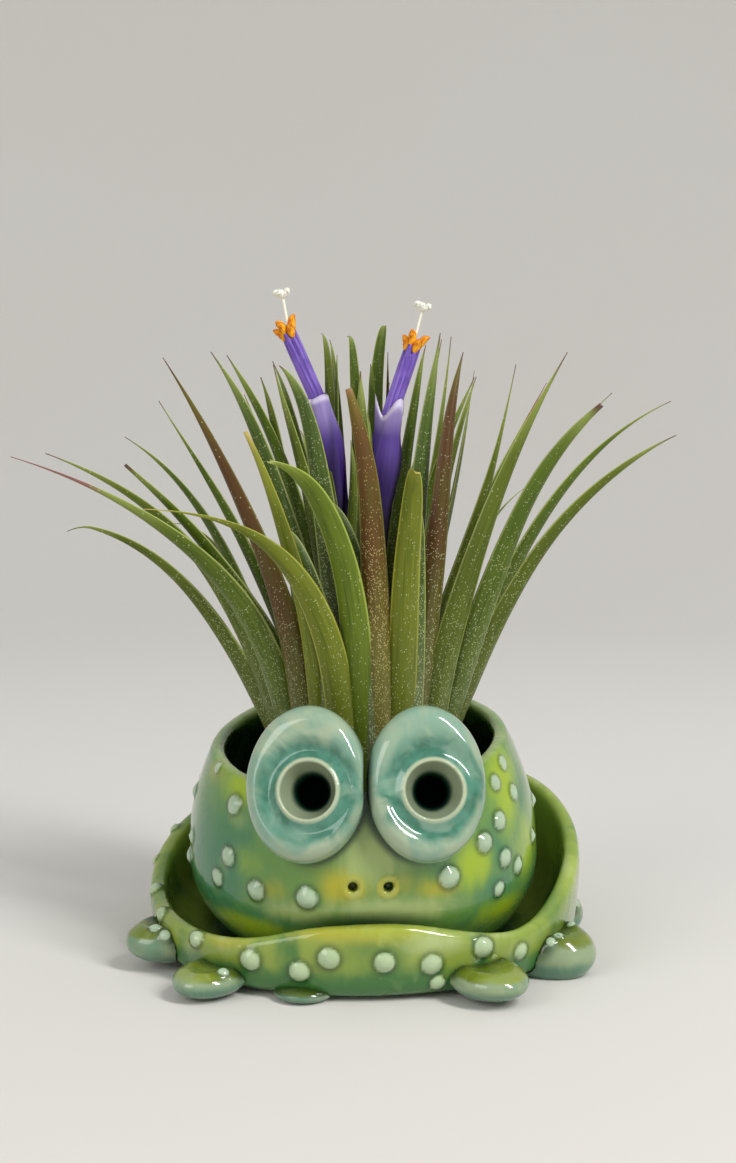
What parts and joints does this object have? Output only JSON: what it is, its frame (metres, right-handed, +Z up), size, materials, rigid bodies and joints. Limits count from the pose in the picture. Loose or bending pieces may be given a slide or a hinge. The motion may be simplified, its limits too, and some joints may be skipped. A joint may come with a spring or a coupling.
{
  "type": "air plant holder",
  "caption": "Hand-built glazed pot shaped as a squat wide-mouthed creature with disc eyes, toes and warts, holding an air plant that lifts out.",
  "frame": {"origin": "middle of the flat underside, on the surface that the pot stands on", "axes": "+Z up, -Y the way the eyes look, +X to the right of someone who faces the eyes"},
  "size_m": [0.1465, 0.1013, 0.1494],
  "materials": {
    "body_glaze": "glossy variegated green glaze, teal and yellow-green, on hand-built stoneware",
    "mouth_glaze": "glossy yellow-green glaze, paler on the crest and teal where it pools",
    "eye_glaze": "glossy pale mint glaze, teal in its hollows",
    "toe_glaze": "glossy grey-green glaze, olive in the thumb prints",
    "wart_glaze": "glossy pale mint glaze on raised drops of clay",
    "bulb": "matt scaly plant base",
    "leaf": "satin olive leaf with silvery fuzz and dry tips",
    "petal": "satin violet petals",
    "filament": "satin pale violet filaments",
    "anther": "matt orange pollen",
    "stigma": "satin white"
  },
  "bodies": {
    "holder": {"left_eye": "eye_glaze", "left_front_toe": "toe_glaze", "left_inner_toe": "toe_glaze", "left_side_toe": "toe_glaze", "lip_warts": "wart_glaze", "mouth_dish": "mouth_glaze", "pot_body": "body_glaze", "pot_warts": "wart_glaze", "right_back_toe": "toe_glaze", "right_eye": "eye_glaze", "right_front_toe": "toe_glaze", "right_side_toe": "toe_glaze", "toe_warts": "wart_glaze"},
    "air_plant": {"inner_leaf_01": "leaf", "inner_leaf_02": "leaf", "inner_leaf_03": "leaf", "inner_leaf_04": "leaf", "inner_leaf_05": "leaf", "inner_leaf_06": "leaf", "left_flower_anthers": "anther", "left_flower_filaments": "filament", "left_flower_petals": "petal", "left_flower_style": "stigma", "middle_leaf_01": "leaf", "middle_leaf_02": "leaf", "middle_leaf_03": "leaf", "middle_leaf_04": "leaf", "middle_leaf_05": "leaf", "middle_leaf_06": "leaf", "middle_leaf_07": "leaf", "middle_leaf_08": "leaf", "middle_leaf_09": "leaf", "middle_leaf_10": "leaf", "middle_leaf_11": "leaf", "outer_leaf_01": "leaf", "outer_leaf_02": "leaf", "outer_leaf_03": "leaf", "outer_leaf_04": "leaf", "outer_leaf_05": "leaf", "outer_leaf_06": "leaf", "outer_leaf_07": "leaf", "outer_leaf_08": "leaf", "outer_leaf_09": "leaf", "outer_leaf_10": "leaf", "outer_leaf_11": "leaf", "outer_leaf_12": "leaf", "outer_leaf_13": "leaf", "outer_leaf_14": "leaf", "outer_leaf_15": "leaf", "outer_leaf_16": "leaf", "outer_leaf_17": "leaf", "outer_leaf_18": "leaf", "outer_leaf_19": "leaf", "outer_leaf_20": "leaf", "plant_crown": "bulb", "right_flower_anthers": "anther", "right_flower_filaments": "filament", "right_flower_petals": "petal", "right_flower_style": "stigma"}
  },
  "joints": [
    {"name": "plant_lift", "type": "slide", "parent": "holder", "child": "air_plant", "axis": [0, 0, 1], "range_m": [0, 0.07]}
  ]
}
